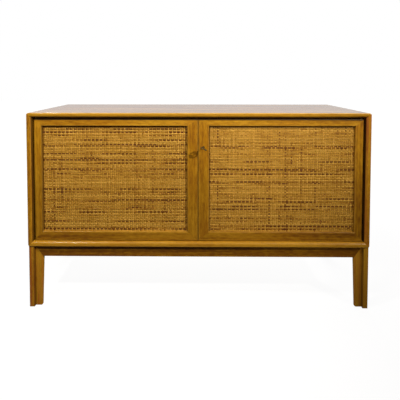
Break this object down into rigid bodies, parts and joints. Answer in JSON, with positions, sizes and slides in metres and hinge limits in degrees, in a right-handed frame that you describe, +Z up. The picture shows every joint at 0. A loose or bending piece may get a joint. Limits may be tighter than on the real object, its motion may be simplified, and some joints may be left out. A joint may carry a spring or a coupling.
{
  "type": "sideboard",
  "caption": "Low oak sideboard with mitred case, inset pivot-hinged doors of framed woven cane, lock and key, shelves, and a mitred frame of stepped legs.",
  "frame": {"origin": "centre of the bounding box's footprint, on the floor under the glides", "axes": "+X along the width to the right seen from the front, +Y from the front to the back, +Z up"},
  "size_m": [1.3, 0.4688, 0.751],
  "materials": {
    "oak": "satin oiled oak, golden brown, fine straight grain",
    "oak_rough": "sawn oak, unfinished",
    "plywood": "oak-faced plywood, matt",
    "cane": "woven rattan cane, dry and slightly glossy",
    "brass": "aged brass",
    "steel": "dull worn steel",
    "glide": "matt"
  },
  "bodies": {
    "case": {"case_top": "oak", "case_bottom": "oak", "case_side_left": "oak", "case_side_right": "oak", "back_panel": "plywood", "partition": "oak", "stop_left": "oak", "stop_right": "oak", "back_screws": "steel", "shelf_pins": "brass", "leg_front_left": "oak", "leg_front_right": "oak", "leg_back_left": "oak", "leg_back_right": "oak", "apron_front": "oak", "apron_back": "oak", "apron_left": "oak", "apron_right": "oak", "corner_blocks": "oak_rough", "apron_screws": "steel", "glides": "glide", "hinge_case_leaves": "brass", "hinge_case_screws": "brass", "hinge_washers": "brass"},
    "left_door": {"left_hinge_stile": "oak", "left_meeting_stile": "oak", "left_top_rail": "oak", "left_low_rail": "oak", "left_cane": "cane", "left_bead": "oak", "left_hinge_leaves": "brass", "left_hinge_screws": "brass", "left_strike": "brass", "slide_bolt_base": "brass"},
    "left_bolt": {"slide_bolt_rod": "brass"},
    "right_door": {"right_hinge_stile": "oak", "right_meeting_stile": "oak", "right_top_rail": "oak", "right_low_rail": "oak", "right_cane": "cane", "right_bead": "oak", "right_hinge_leaves": "brass", "right_hinge_screws": "brass", "keyhole_liner": "steel", "lock_box": "steel", "lock_screws": "steel"},
    "lock_bolt_body": {"lock_bolt": "brass"},
    "key_body": {"key": "steel"},
    "shelf_left_body": {"shelf_left": "oak"},
    "shelf_right_body": {"shelf_right": "oak"}
  },
  "joints": [
    {"name": "left_door_swing", "type": "hinge", "parent": "case", "child": "left_door", "pos_m": [-0.62, -0.1836, 0.5], "axis": [0, 0, -1], "range_deg": [0, 95]},
    {"name": "right_door_swing", "type": "hinge", "parent": "case", "child": "right_door", "pos_m": [0.62, -0.1836, 0.5], "axis": [0, 0, 1], "range_deg": [0, 95]},
    {"name": "left_bolt_slide", "type": "slide", "parent": "left_door", "child": "left_bolt", "axis": [0, 0, 1], "range_m": [0, 0.012]},
    {"name": "key_turn", "type": "hinge", "parent": "right_door", "child": "key_body", "pos_m": [0.02, -0.2, 0.619], "axis": [0, -1, 0], "range_deg": [0, 180]},
    {"name": "lock_bolt_slide", "type": "slide", "parent": "right_door", "child": "lock_bolt_body", "axis": [-1, 0, 0], "range_m": [0, 0.009]},
    {"name": "left_shelf_lift", "type": "slide", "parent": "case", "child": "shelf_left_body", "axis": [0, 0, 1], "range_m": [0, 0.14]},
    {"name": "right_shelf_lift", "type": "slide", "parent": "case", "child": "shelf_right_body", "axis": [0, 0, 1], "range_m": [0, 0.14]}
  ],
  "couplings": [
    {"joint": "key_turn", "follows": "lock_bolt_slide", "rad_per_m": 349.06}
  ]
}
